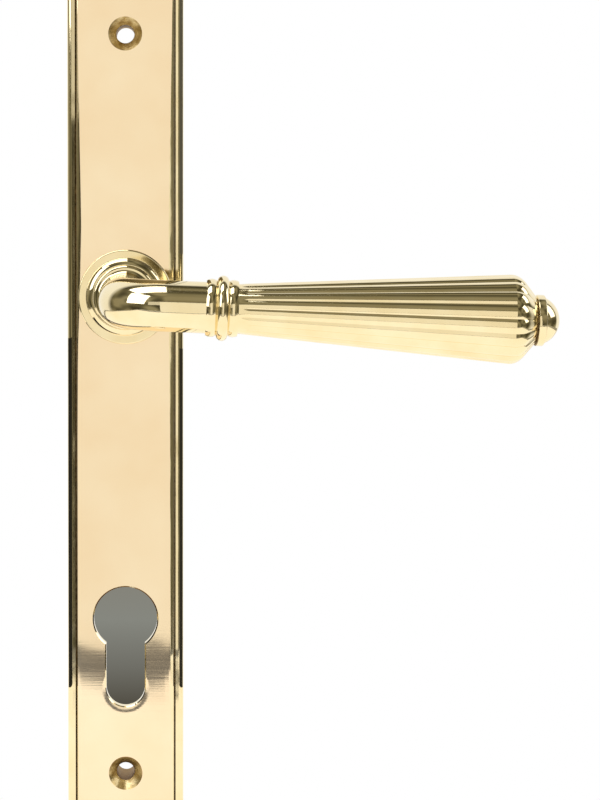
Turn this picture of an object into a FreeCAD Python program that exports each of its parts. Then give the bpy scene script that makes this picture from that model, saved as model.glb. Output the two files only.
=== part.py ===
import FreeCAD, Part
import math
import os

import Sketcher
from FreeCAD import Placement, Rotation, Vector

# A lever handle on a long backplate for a multipoint door lock.
# The origin is on the spindle axis in the plate's back plane. +X runs along the lever, +Y runs into
# the door and +Z is up. A depth is a distance in front of the back plane, so it lies at Y = -depth.

SIZES = {
    # Backplate
    "plate_width": 33,
    "upper_fixing": 74.5,
    "lower_fixing": 136.5,
    "screw_to_end": 16.5,
    "plate_depth": 14,
    "corner_radius": 3,
    "side_wall": 2.3,
    "face_wall": 2.6,
    "border_round": 1.6,
    "border_width": 2.2,
    "border_drop": 0.6,
    "quirk_width": 0.5,
    "quirk_depth": 0.5,
    "face_round": 0.35,
    # Fixings and cylinder cut-out
    "fixing_radius": 2.6,
    "countersink_radius": 4.8,
    "pillar_wall": 2.6,
    "cylinder_drop": 92,
    "cylinder_radius": 9.05,
    "cylinder_slot": 11,
    "cylinder_height": 34.3,
    "slot_end_radius": 5.8,
    "cutout_chamfer": 0.3,
    # Stiffening ribs of the hollow back
    "rib_thickness": 2,
    "rib_setback": 3,
    "upper_rib": 49,
    "lower_rib": 60,
    # Rose ring and bush
    "ring_radius": 13.4,
    "ring_rise": 1.5,
    "ring_edge": 0.45,
    "ring_hollow": 0.12,
    "tier_radius": 10.9,
    "tier_rise": 3.9,
    "tier_fall": 1.1,
    "tier_dome": 2.85,
    "ring_tail_radius": 10,
    "bush_radius": 9,
    "bush_gap": 0.1,
    # Lever journal, neck and arm
    "journal_radius": 8,
    "running_clearance": 0.05,
    "spigot_radius": 7.6,
    "spigot_flats": 13.2,
    "base_bead_radius": 9.1,
    "base_bead_height": 1.8,
    "base_bead_shelf": 8.1,
    "neck_radius": 6.85,
    "neck_cove": 1.25,
    "bead_flatness": 1.02,
    "arm_height": 40,
    "bend_radius": 12,
    "collar_start": 22.1,
    "droop_angle": 2.2,
    "tenon_radius": 4.5,
    "tenon_length": 7.9,
    # Collar
    "collar_ring_one": 7.75,
    "collar_ring_two": 8.7,
    "collar_ring_three": 7.6,
    "collar_length_one": 2.8,
    "collar_length_two": 3.2,
    "collar_length_three": 2.5,
    "collar_valley": 7.3,
    # Grip
    "grip_start_radius": 6.6,
    "grip_end_radius": 11.85,
    "grip_length": 72.1,
    "shoulder_length": 6.2,
    "shoulder_round": 4.6,
    "shoulder_slope": 46,
    "shoulder_radius": 6.85,
    "reed_count": 18,
    "reed_ratio": 0.42,
    "cuff_sink": 0.9,
    "reed_cuff": 2.6,
    # Finial
    "finial_radius": 6.8,
    "finial_length": 2.2,
    "finial_gap": 0.5,
    "finial_gap_radius": 5.8,
    "dome_radius": 6.15,
    "dome_height": 4.2,
    # Rods, pins and screws
    "rod_radius": 2.5,
    "rod_start": 14,
    "rod_in_finial": 2.6,
    "thread_clearance": 0.02,
    "grip_bore_clearance": 0.1,
    "locating_radius": 0.75,
    "locating_offset": 3.55,
    "locating_depth": 3.5,
    "spindle_width": 8,
    "spindle_reach": 62,
    "spindle_in_neck": 32,
    "spindle_chamfer": 1,
    "socket_clearance": 0.05,
    "socket_depth": 33,
    "grub_radius": 2.5,
    "grub_depth": 26,
    "grub_recess": 0.3,
    "grub_socket": 1.25,
    "grub_socket_depth": 1.5,
    # Spring cassette, from the back forward
    "cover_setback": 0.3,
    "cover_thickness": 1.2,
    "cover_gap": 0.1,
    "cover_side_gap": 0.4,
    "cover_top": 27,
    "cover_bottom": 25,
    "cover_hole_clearance": 0.8,
    "post_across": 9.4,
    "post_top": 22.6,
    "post_bottom": 20.6,
    "post_radius": 3.1,
    "screw_radius": 1.45,
    "screw_length": 7,
    "screw_head_radius": 2.65,
    "screw_socket": 1.15,
    "screw_socket_depth": 1.2,
    "cam_thickness": 1.4,
    "cam_radius": 10.4,
    "cam_arm_width": 6,
    "cam_clearance": 0.05,
    "lug_width": 2.3,
    "lug_inner": 11.3,
    "lug_outer": 12.9,
    "lug_top_gap": 0.3,
    "stop_range": 45,
    "stop_lobe_angle": 20,
    "stop_lobe_radius": 14,
    "stop_pin_radius": 1.5,
    "stop_pin_circle": 12.6,
    "stop_clearance": 0.08,
    "pin_seat": 1.3,
    "anchor_radius": 1.6,
    "anchor_circle": 14.9,
    "spring_zone": 5.9,
    "spring_gap": 0.1,
    "wire_radius": 0.8,
    "coil_radius": 10,
    "leg_clearance": 0.1,
    "leg_angle": 28,
    "leg_bend_height": 12.9,
    "leg_height": 15.9,
    "circlip_thickness": 1,
    "circlip_groove": 7,
    "circlip_radius": 9.4,
    "circlip_gap": 4.6,
    "circlip_lug": 1.5,
    "circlip_lug_circle": 9,
    "circlip_hole": 0.7,
    "circlip_clearance": 0.02,
    "washer_clearance": 0.15,
    "dish_thickness": 0.3,
    "dish_rise": 0.3,
    "dish_inset": 0.2,
    "thrust_thickness": 0.6,
    "washer_to_pins": 0.3,
    "thrust_gap": 0.1,
}

# Sizes that follow from the driving ones.
DERIVED = {
    "plate_length": "upper_fixing + lower_fixing + 2 * screw_to_end",
    "plate_centre": "(upper_fixing - lower_fixing) / 2",
    "border_top": "plate_depth - border_drop",
    "quirk_floor": "border_top - quirk_depth",
    "ceiling": "plate_depth - face_wall",
    "pillar_radius": "fixing_radius + pillar_wall",
    "tier_top": "plate_depth + tier_rise",
    "bush_top": "tier_top",
    "bead_foot": "bush_top + bush_gap",
    "bead_top": "bead_foot + base_bead_height",
    "arm_depth": "plate_depth + arm_height",
    "collar_end": "collar_start + collar_length_one + collar_length_two + collar_length_three",
    "grip_shoulder": "collar_end + grip_length",
    "grip_end": "grip_shoulder + shoulder_length",
    "finial_start": "grip_end + finial_gap",
    "dome_start": "finial_start + finial_length",
    "cam_back": "cover_setback + cover_thickness + cover_gap",
    "cam_front": "cam_back + cam_thickness",
    "circlip_back": "cam_front + spring_zone",
    "circlip_front": "circlip_back + circlip_thickness",
    "thrust_front": "ceiling - thrust_gap",
    "thrust_back": "thrust_front - thrust_thickness",
    "washer_bore": "journal_radius + washer_clearance",
    "thrust_radius": "stop_pin_circle - stop_pin_radius - washer_to_pins",
    "dish_radius": "thrust_radius - dish_inset",
    "leg_across": "anchor_radius + leg_clearance + wire_radius",
    "socket_width": "spindle_width + 2 * socket_clearance",
    "grub_hole": "grub_radius + thread_clearance",
    "grub_tip": "spindle_width / 2 + thread_clearance",
    "pin_front": "ceiling + pin_seat",
}

doc = FreeCAD.newDocument("LeverHandle")
sheet = doc.addObject("Spreadsheet::Sheet", "Sizes")


def fill_sheet():
    names = sorted(list(SIZES) + list(DERIVED), key=len, reverse=True)
    row = 1
    for name, value in SIZES.items():
        sheet.set(f"A{row}", name)
        sheet.set(f"B{row}", str(value))
        sheet.setAlias(f"B{row}", name)
        row += 1
    for name, formula in DERIVED.items():
        sheet.set(f"A{row}", name)
        sheet.set(f"B{row}", "=" + formula)
        sheet.setAlias(f"B{row}", name)
        row += 1
    doc.recompute()
    return names


NAMES = fill_sheet()


def bound(formula):
    """A formula of size names, as an expression on the sheet."""
    words = []
    word = ""
    for letter in str(formula) + " ":
        if letter.isalnum() or letter == "_":
            word += letter
            continue
        words.append("Sizes." + word if word in NAMES else word)
        words.append(letter)
        word = ""
    return "".join(words).strip()


def size(formula):
    return float(sheet.evalExpression(bound(formula)))


def origin_plane(body, role):
    return [item for item in body.Origin.OriginFeatures if item.Role == role][0]


def new_body(label, turns_with_lever=False):
    body = doc.addObject("PartDesign::Body", "Body_" + label)
    body.Label = label
    if turns_with_lever:
        body.Placement = Placement(Vector(), Rotation(Vector(0, 1, 0), size("droop_angle")))
        body.setExpression("Placement.Rotation.Angle", bound("droop_angle"))
    return body


def new_sketch(body, name, role, offsets=("0", "0", "0")):
    sketch = body.newObject("Sketcher::SketchObject", body.Label + "_" + name)
    sketch.AttachmentSupport = [(origin_plane(body, role), "")]
    sketch.MapMode = "FlatFace"
    sketch.AttachmentOffset = Placement(Vector(*[size(value) for value in offsets]), Rotation())
    for letter, value in zip("xyz", offsets):
        if value != "0":
            sketch.setExpression("AttachmentOffset.Base." + letter, bound(value))
    return sketch


def bind(sketch, constraint, name, formula):
    index = sketch.addConstraint(constraint)
    sketch.renameConstraint(index, name)
    sketch.setExpression(".Constraints." + name, bound(formula))


def pin_point(sketch, item, end, name, x, y):
    bind(sketch, Sketcher.Constraint("DistanceX", -1, 1, item, end, size(x)), name + "_x", x)
    bind(sketch, Sketcher.Constraint("DistanceY", -1, 1, item, end, size(y)), name + "_y", y)


def add_circle(sketch, name, x, y, radius):
    centre = Vector(size(x), size(y), 0)
    item = sketch.addGeometry(Part.Circle(centre, Vector(0, 0, 1), size(radius)))
    pin_point(sketch, item, 3, name, x, y)
    bind(sketch, Sketcher.Constraint("Radius", item, size(radius)), name + "_radius", radius)


def arc_centre(start, end, radius, turns_left, major):
    half = (end - start) * 0.5
    reach = math.sqrt(max(radius ** 2 - half.Length ** 2, 0))
    left = Vector(-half.y, half.x, 0).normalize()
    side = 1 if turns_left != major else -1
    return start + half + left * reach * side


def add_outline(sketch, name, corners, closed=True):
    """Lines and arcs through the corners. A corner is (x, y), reached by a line, or
    (x, y, radius, turn), reached by an arc that turns left or right, or major left."""
    places = [Vector(size(corner[0]), size(corner[1]), 0) for corner in corners]
    first = 0 if closed else 1
    links = []
    for index in range(first, len(corners)):
        start, end, corner = places[index - 1], places[index], corners[index]
        if len(corner) == 2:
            links.append((sketch.addGeometry(Part.LineSegment(start, end)), 1, 2))
            continue
        radius = size(corner[2])
        turns_left = "left" in corner[3]
        centre = arc_centre(start, end, radius, turns_left, "major" in corner[3])
        low, high = (start, end) if turns_left else (end, start)
        circle = Part.Circle(centre, Vector(0, 0, 1), radius)
        angles = [math.atan2(place.y - centre.y, place.x - centre.x) for place in (low, high)]
        if angles[1] <= angles[0]:
            angles[1] += 2 * math.pi
        item = sketch.addGeometry(Part.ArcOfCircle(circle, *angles))
        bind(sketch, Sketcher.Constraint("Radius", item, radius), f"{name}_radius{index}", corner[2])
        links.append((item, 1, 2) if turns_left else (item, 2, 1))
    for number, (item, start_end, far_end) in enumerate(links):
        corner = corners[first + number]
        pin_point(sketch, item, far_end, f"{name}_corner{number}", corner[0], corner[1])
        if number == 0 and not closed:
            pin_point(sketch, item, start_end, f"{name}_start", corners[0][0], corners[0][1])
        if closed or number > 0:
            before = links[number - 1]
            join = Sketcher.Constraint("Coincident", before[0], before[2], item, start_end)
            sketch.addConstraint(join)


def rounded_box(width, bottom, top, radius):
    """Corners of an upright box with rounded corners, centred on the spindle axis."""
    side = f"({width}) / 2"
    return [
        (f"{side} - ({radius})", bottom),
        (side, f"{bottom} + ({radius})", radius, "left"),
        (side, f"{top} - ({radius})"),
        (f"{side} - ({radius})", top, radius, "left"),
        (f"({radius}) - {side}", top),
        (f"-{side}", f"{top} - ({radius})", radius, "left"),
        (f"-{side}", f"{bottom} + ({radius})"),
        (f"({radius}) - {side}", bottom, radius, "left"),
    ]


def pad(body, sketch, length):
    feature = body.newObject("PartDesign::Pad", sketch.Label + "_pad")
    feature.Profile = sketch
    feature.Length = size(length)
    feature.setExpression("Length", bound(length))
    doc.recompute()
    return feature


def pocket(body, sketch, length, forward):
    """A cut that must take material away: forward follows the sketch's normal."""
    before = body.Shape.Volume
    feature = body.newObject("PartDesign::Pocket", sketch.Label + "_pocket")
    feature.Profile = sketch
    feature.Length = size(length)
    feature.setExpression("Length", bound(length))
    feature.Reversed = forward
    doc.recompute()
    if body.Shape.Volume >= before:
        raise RuntimeError(feature.Label + " cuts nothing")
    return feature


def revolve(body, sketch, axis):
    feature = body.newObject("PartDesign::Revolution", sketch.Label + "_turn")
    feature.Profile = sketch
    feature.ReferenceAxis = (sketch, [axis])
    feature.Angle = 360
    doc.recompute()
    return feature


def edges_of(feature, wanted):
    names = []
    for index, edge in enumerate(feature.Shape.Edges, 1):
        if wanted(edge.BoundBox):
            names.append(f"Edge{index}")
    return names


def at_depth(depth):
    return lambda box: max(abs(box.YMin + depth), abs(box.YMax + depth)) < 1e-4


def blend_edges(body, kind, feature, wanted, amount):
    blend = body.newObject("PartDesign::" + kind, f"{body.Label}_{kind}")
    blend.Base = (feature, edges_of(feature, wanted))
    sizing = "Radius" if kind == "Fillet" else "Size"
    setattr(blend, sizing, size(amount))
    blend.setExpression(sizing, bound(amount))
    doc.recompute()
    return blend


def turned_about_spindle(label, corners, turns_with_lever=False):
    """A piece turned about the spindle axis, from (radius, depth) corners."""
    body = new_body(label, turns_with_lever)
    sketch = new_sketch(body, "profile", "XY_Plane")
    flipped = []
    for corner in corners:
        flipped.append((corner[0], f"-({corner[1]})") + tuple(corner[2:]))
    add_outline(sketch, "profile", flipped)
    revolve(body, sketch, "V_Axis")
    return body


def turned_about_arm(label, corners):
    """A piece turned about the arm's axis, from (distance along the arm, radius) corners."""
    body = new_body(label, True)
    sketch = new_sketch(body, "profile", "XY_Plane", ("0", "-arm_depth", "0"))
    add_outline(sketch, "profile", corners)
    revolve(body, sketch, "H_Axis")
    return body


def cylinder(name, radius, length, base, direction):
    rod = doc.addObject("Part::Cylinder", name)
    rod.Placement = Placement(Vector(*[size(value) for value in base]),
                              Rotation(Vector(0, 0, 1), direction))
    rod.setExpression("Radius", bound(radius))
    rod.setExpression("Height", bound(length))
    for letter, value in zip("xyz", base):
        rod.setExpression("Placement.Base." + letter, bound(value))
    return rod


def cylinder_outline(grow):
    """The euro-profile cut-out: most of a circle over a slot with a round foot."""
    half = f"(cylinder_slot / 2 + {grow})"
    top = f"(cylinder_radius + {grow})"
    end = f"(slot_end_radius + {grow})"
    shoulder = f"-cylinder_drop - sqrt({top} ^ 2 - {half} ^ 2)"
    centre = "cylinder_radius - cylinder_drop - cylinder_height + slot_end_radius"
    heel = f"{centre} - sqrt({end} ^ 2 - {half} ^ 2)"
    return [
        (f"-{half}", heel),
        (half, heel, end, "left"),
        (half, shoulder),
        (f"-{half}", shoulder, top, "major left"),
    ]


def build_backplate():
    body = new_body("backplate")
    low = "-lower_fixing - screw_to_end"
    high = "upper_fixing + screw_to_end"

    def frame_at(inset, radius):
        return rounded_box(f"plate_width - 2 * ({inset})", f"{low} + ({inset})",
                           f"{high} - ({inset})", radius)

    outer = new_sketch(body, "outline", "XZ_Plane")
    add_outline(outer, "outline", frame_at("0", "corner_radius"))
    block = pad(body, outer, "border_top")
    blend_edges(body, "Fillet", block, at_depth(size("border_top")), "border_round")

    quirk = new_sketch(body, "quirk", "XZ_Plane", ("0", "0", "border_top"))
    inner_corner = "corner_radius - border_width + quirk_width"
    add_outline(quirk, "outside", frame_at("border_width", inner_corner))
    add_outline(quirk, "inside", frame_at("border_width + quirk_width", "quirk_width"))
    pocket(body, quirk, "quirk_depth", False)

    face = new_sketch(body, "face", "XZ_Plane", ("0", "0", "quirk_floor"))
    add_outline(face, "face", frame_at("border_width + quirk_width", "quirk_width"))
    raised = pad(body, face, "plate_depth - quirk_floor")
    blend_edges(body, "Fillet", raised, at_depth(size("plate_depth")), "face_round")

    hollow = new_sketch(body, "hollow", "XZ_Plane")
    add_outline(hollow, "hollow", frame_at("side_wall", "corner_radius - side_wall + quirk_width"))
    pocket(body, hollow, "ceiling", True)

    pillars = new_sketch(body, "pillars", "XZ_Plane")
    add_circle(pillars, "upper", "0", "upper_fixing", "pillar_radius")
    add_circle(pillars, "lower", "0", "-lower_fixing", "pillar_radius")
    pad(body, pillars, "ceiling")

    posts = new_sketch(body, "posts", "XZ_Plane", ("0", "0", "cover_setback + cover_thickness"))
    for number, (x, z) in enumerate(POSTS):
        add_circle(posts, f"post{number}", x, z, "post_radius")
    pad(body, posts, "ceiling - cover_setback - cover_thickness")

    ribs = new_sketch(body, "ribs", "XZ_Plane", ("0", "0", "rib_setback"))
    for name, foot in (("upper", "upper_rib"), ("lower", "-lower_rib")):
        rib = rounded_box("plate_width - side_wall", foot, f"{foot} + rib_thickness", "0")
        add_outline(ribs, name, [rib[0], rib[2], rib[4], rib[6]])
    pad(body, ribs, "ceiling - rib_setback")

    slot = new_sketch(body, "cylinder", "XZ_Plane", ("0", "0", "plate_depth"))
    add_outline(slot, "cylinder", cylinder_outline("0"))
    pocket(body, slot, "face_wall", False)
    bevel = new_sketch(body, "bevel", "XZ_Plane", ("0", "0", "plate_depth"))
    add_outline(bevel, "bevel", cylinder_outline("cutout_chamfer"))
    cut = pocket(body, bevel, "cutout_chamfer", False)
    cut.TaperAngle = -45
    doc.recompute()

    bores = new_sketch(body, "bores", "XZ_Plane", ("0", "0", "plate_depth"))
    add_circle(bores, "spindle", "0", "0", "ring_tail_radius")
    pocket(body, bores, "face_wall", False)

    holes = new_sketch(body, "fixings", "XZ_Plane", ("0", "0", "plate_depth"))
    add_circle(holes, "upper", "0", "upper_fixing", "fixing_radius")
    add_circle(holes, "lower", "0", "-lower_fixing", "fixing_radius")
    doc.recompute()
    drilled = body.newObject("PartDesign::Hole", "backplate_fixing_holes")
    drilled.Profile = holes
    drilled.DepthType = "ThroughAll"
    drilled.HoleCutType = "Countersink"
    drilled.HoleCutCustomValues = True
    drilled.HoleCutCountersinkAngle = 90
    drilled.setExpression("Diameter", bound("2 * fixing_radius"))
    drilled.setExpression("HoleCutDiameter", bound("2 * countersink_radius"))
    before = body.Shape.Volume
    doc.recompute()
    if drilled.Shape.Volume >= before:
        raise RuntimeError("the fixing holes cut nothing")

    seats = new_sketch(body, "pin_seats", "XZ_Plane", ("0", "0", "ceiling"))
    add_circle(seats, "anchor", "0", "anchor_circle", "anchor_radius")
    for number, (x, z) in enumerate(STOP_PINS):
        add_circle(seats, f"stop{number}", x, z, "stop_pin_radius")
    pocket(body, seats, "pin_seat", True)

    taps = new_sketch(body, "taps", "XZ_Plane", ("0", "0", "cover_setback + cover_thickness"))
    for number, (x, z) in enumerate(POSTS):
        add_circle(taps, f"tap{number}", x, z, "screw_radius + thread_clearance")
    pocket(body, taps, "screw_length", True)
    return body


def build_rose_ring():
    rim = "plate_depth + ring_rise"
    return turned_about_spindle("rose_ring", [
        ("bush_radius", "ceiling"),
        ("ring_tail_radius", "ceiling"),
        ("ring_tail_radius", "plate_depth"),
        ("ring_radius", "plate_depth"),
        ("ring_radius", f"{rim} - ring_edge"),
        ("ring_radius - ring_edge", rim, "ring_edge * bead_flatness", "right"),
        ("tier_radius", f"{rim} - ring_hollow"),
        ("tier_radius", "tier_top - tier_fall"),
        ("bush_radius", "tier_top", "tier_dome", "right"),
    ])


def build_neck_bush():
    bore = "journal_radius + running_clearance"
    return turned_about_spindle("neck_bush", [
        (bore, "ceiling"), ("bush_radius", "ceiling"), ("bush_radius", "bush_top"),
        (bore, "bush_top"),
    ])


def build_cover_plate():
    body = new_body("cover_plate")
    blank = new_sketch(body, "blank", "XZ_Plane", ("0", "0", "cover_setback"))
    width = "plate_width - 2 * side_wall - 2 * cover_side_gap"
    add_outline(blank, "blank", rounded_box(width, "-cover_bottom", "cover_top", "corner_radius"))
    add_circle(blank, "spindle", "0", "0",
               "spindle_width / 2 * sqrt(2) + cover_hole_clearance")
    pad(body, blank, "cover_thickness")
    holes = new_sketch(body, "holes", "XZ_Plane", ("0", "0", "cover_setback"))
    for number, (x, z) in enumerate(POSTS):
        add_circle(holes, f"hole{number}", x, z, "screw_radius + thread_clearance")
    doc.recompute()
    drilled = body.newObject("PartDesign::Hole", "cover_plate_screw_holes")
    drilled.Profile = holes
    drilled.Reversed = True
    drilled.DepthType = "ThroughAll"
    drilled.HoleCutType = "Countersink"
    drilled.HoleCutCustomValues = True
    drilled.HoleCutCountersinkAngle = 90
    drilled.setExpression("Diameter", bound("2 * (screw_radius + thread_clearance)"))
    drilled.setExpression("HoleCutDiameter", bound("2 * (screw_head_radius + thread_clearance)"))
    before = body.Shape.Volume
    doc.recompute()
    if drilled.Shape.Volume >= before:
        raise RuntimeError("the cover plate's holes cut nothing")
    return body


def build_cover_screws():
    screws = []
    for number, (x, z) in enumerate(POSTS):
        head = doc.addObject("Part::Cone", f"ScrewHead{number}")
        head.Placement = Placement(Vector(size(x), size("-cover_setback"), size(z)),
                                   Rotation(Vector(0, 0, 1), Vector(0, -1, 0)))
        head.setExpression("Radius1", bound("screw_head_radius"))
        head.setExpression("Radius2", bound("screw_radius"))
        head.setExpression("Height", bound("screw_head_radius - screw_radius"))
        shank = cylinder(f"ScrewShank{number}", "screw_radius",
                         "cover_thickness + screw_length - cover_setback",
                         (x, "-cover_setback", z), Vector(0, -1, 0))
        head.setExpression("Placement.Base.x", bound(x))
        head.setExpression("Placement.Base.y", bound("-cover_setback"))
        head.setExpression("Placement.Base.z", bound(z))
        whole = doc.addObject("Part::Fuse", f"ScrewBody{number}")
        whole.Base = head
        whole.Tool = shank
        socket = doc.addObject("Part::Prism", f"ScrewSocket{number}")
        socket.Polygon = 6
        socket.Placement = Placement(Vector(size(x), size("-cover_setback"), size(z)),
                                     Rotation(Vector(0, 0, 1), Vector(0, -1, 0)))
        socket.setExpression("Circumradius", bound("screw_socket"))
        socket.setExpression("Height", bound("screw_socket_depth"))
        socket.setExpression("Placement.Base.x", bound(x))
        socket.setExpression("Placement.Base.y", bound("-cover_setback"))
        socket.setExpression("Placement.Base.z", bound(z))
        screw = doc.addObject("Part::Cut", f"Screw{number}")
        screw.Base = whole
        screw.Tool = socket
        screws.append(screw)
    group = doc.addObject("Part::Compound", "CoverScrews")
    group.Label = "cover_screws"
    group.Links = screws
    return group


def build_stop_pins():
    pins = []
    for number, (x, z) in enumerate(STOP_PINS):
        pins.append(cylinder(f"StopPin{number}", "stop_pin_radius", "pin_front - cam_back",
                             (x, "-cam_back", z), Vector(0, -1, 0)))
    group = doc.addObject("Part::Compound", "StopPins")
    group.Label = "stop_pins"
    group.Links = pins
    return group


def build_spring_anchor_pin():
    pin = cylinder("SpringAnchorPin", "anchor_radius", "pin_front - cam_back",
                   ("0", "-cam_back", "anchor_circle"), Vector(0, -1, 0))
    pin.Label = "spring_anchor_pin"
    return pin


def biarc(start, start_way, end, end_way):
    """Two arcs that leave start along start_way and reach end along end_way."""
    span = end - start
    ways = start_way + end_way
    bend = 2 * (1 - start_way.dot(end_way))
    reach = (math.sqrt(span.dot(ways) ** 2 + bend * span.dot(span)) - span.dot(ways)) / bend
    middle = (start + end + (start_way - end_way) * reach) * 0.5
    edges = []
    for low, high, corner in ((start, middle, start + start_way * reach),
                              (middle, end, end - end_way * reach)):
        chord = (low + high) * 0.5
        turn = (corner - low).getAngle(high - low)
        rise = (high - low).Length / 2 * math.tan(turn / 2)
        top = chord + (corner - chord).normalize() * rise
        edges.append(Part.Arc(low, top, high).toShape())
    return edges


def build_return_spring():
    """A torsion coil round the journal, with both legs up, either side of the anchor pin."""
    coil, wire, across = size("coil_radius"), size("wire_radius"), size("leg_across")
    back = size("cam_front + spring_gap + wire_radius")
    front = size("circlip_back - spring_gap - wire_radius")
    first, last = 90 + size("leg_angle"), 90 + 2 * 360 - size("leg_angle")
    pitch = (front - back) / math.radians(last - first)

    def on_coil(angle):
        turn = math.radians(angle)
        depth = back + pitch * math.radians(angle - first)
        return Vector(coil * math.cos(turn), -depth, coil * math.sin(turn))

    def along_coil(angle):
        turn = math.radians(angle)
        return Vector(-coil * math.sin(turn), -pitch, coil * math.cos(turn)).normalize()

    steps = math.ceil((last - first) / 90)
    angles = [first + (last - first) * step / steps for step in range(steps + 1)]
    low_tip = Vector(-across, -back, size("leg_height"))
    low_bend = Vector(-across, -back, size("leg_bend_height"))
    high_bend = Vector(across, -front, size("leg_bend_height"))
    high_tip = Vector(across, -front, size("leg_height"))
    edges = [Part.LineSegment(low_tip, low_bend).toShape()]
    edges += biarc(low_bend, Vector(0, 0, -1), on_coil(first), along_coil(first))
    for low, high in zip(angles, angles[1:]):
        edges += biarc(on_coil(low), along_coil(low), on_coil(high), along_coil(high))
    edges += biarc(on_coil(last), along_coil(last), high_bend, Vector(0, 0, 1))
    edges.append(Part.LineSegment(high_bend, high_tip).toShape())
    path = Part.Wire(edges)
    section = Part.Wire(Part.makeCircle(wire, low_tip, Vector(0, 0, -1)))
    spring = doc.addObject("Part::Feature", "ReturnSpring")
    spring.Label = "return_spring"
    spring.Shape = path.makePipeShell([section], True, False)
    gap = pitch * 2 * math.pi - 2 * wire
    print(f"return spring: gap between turns {gap:.2f} mm, wire length {path.Length:.1f} mm,",
          f"volume ratio {spring.Shape.Volume / (math.pi * wire ** 2 * path.Length):.4f}")
    return spring


def build_lever_neck():
    body = new_body("lever_neck", True)
    profile = new_sketch(body, "journal", "XY_Plane")
    groove_back = "circlip_back - circlip_clearance"
    groove_front = "circlip_front + circlip_clearance"
    bead = "base_bead_height / 2"
    corners = [
        ("0", "cam_back"),
        ("spigot_radius", "cam_back"),
        ("spigot_radius", "cam_front"),
        ("journal_radius", "cam_front"),
        ("journal_radius", groove_back),
        ("circlip_groove", groove_back),
        ("circlip_groove", groove_front),
        ("journal_radius", groove_front),
        ("journal_radius", "bead_foot"),
        (f"base_bead_radius - {bead}", "bead_foot"),
        (f"base_bead_radius - {bead}", "bead_top", f"{bead} * bead_flatness", "right"),
        ("base_bead_shelf", "bead_top"),
        ("neck_radius", "bead_top + neck_cove", "neck_cove * bead_flatness", "left"),
        ("0", "bead_top + neck_cove"),
    ]
    add_outline(profile, "journal",
                [(item[0], f"-({item[1]})") + tuple(item[2:]) for item in corners])
    revolve(body, profile, "V_Axis")

    path = new_sketch(body, "path", "XY_Plane")
    add_outline(path, "path", [
        ("0", "-(bead_top + neck_cove / 2)"),
        ("0", "bend_radius - arm_depth"),
        ("bend_radius", "-arm_depth", "bend_radius", "left"),
        ("collar_start", "-arm_depth"),
    ], closed=False)
    round_bar = new_sketch(body, "bar", "XZ_Plane", ("0", "0", "bead_top + neck_cove / 2"))
    add_circle(round_bar, "bar", "0", "0", "neck_radius")
    elbow = body.newObject("PartDesign::AdditivePipe", "lever_neck_elbow")
    elbow.Profile = round_bar
    elbow.Spine = path
    doc.recompute()

    tenon = new_sketch(body, "tenon", "YZ_Plane", ("-arm_depth", "0", "collar_start"))
    add_circle(tenon, "tenon", "0", "0", "tenon_radius")
    pad(body, tenon, "tenon_length")

    tap = new_sketch(body, "rod_tap", "YZ_Plane", ("-arm_depth", "0", "collar_start + tenon_length"))
    add_circle(tap, "tap", "0", "0", "rod_radius + thread_clearance")
    pocket(body, tap, "collar_start + tenon_length - rod_start + thread_clearance", False)

    seat = new_sketch(body, "locating", "YZ_Plane", ("-arm_depth", "0", "collar_start + tenon_length"))
    add_circle(seat, "locating", "0", "locating_offset", "locating_radius + thread_clearance")
    pocket(body, seat, "locating_depth + thread_clearance", False)

    flats = new_sketch(body, "flats", "XZ_Plane", ("0", "0", "cam_back"))
    for name, side in (("left", "-1"), ("right", "1")):
        add_outline(flats, name, [
            (f"{side} * spigot_flats / 2", "-journal_radius"),
            (f"{side} * (journal_radius + 1)", "-journal_radius"),
            (f"{side} * (journal_radius + 1)", "journal_radius"),
            (f"{side} * spigot_flats / 2", "journal_radius"),
        ])
    pocket(body, flats, "cam_thickness", True)

    socket = new_sketch(body, "socket", "XZ_Plane", ("0", "0", "cam_back"))
    add_outline(socket, "socket", square("socket_width / 2"))
    pocket(body, socket, "socket_depth - cam_back", True)

    grub = new_sketch(body, "grub_hole", "XY_Plane")
    add_circle(grub, "grub", "0", "-grub_depth", "grub_hole")
    pocket(body, grub, "neck_radius + 1", False)
    return body


def square(half):
    return [(f"-{half}", f"-{half}"), (half, f"-{half}"), (half, half), (f"-{half}", half)]


def build_collar_ring():
    bore = "tenon_radius + thread_clearance"
    first = "collar_start + collar_length_one"
    second = f"{first} + collar_length_two"

    def bead(length, crest):
        rise = f"({crest} - collar_valley)"
        return f"(({length} / 2) ^ 2 + {rise} ^ 2) / (2 * {rise})"

    return turned_about_arm("collar_ring", [
        ("collar_start", bore),
        ("collar_start", "collar_valley"),
        (first, "collar_valley", bead("collar_length_one", "collar_ring_one"), "right"),
        (second, "collar_valley", bead("collar_length_two", "collar_ring_two"), "right"),
        ("collar_end", "collar_valley", bead("collar_length_three", "collar_ring_three"), "right"),
        ("collar_end", bore),
    ])


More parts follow.
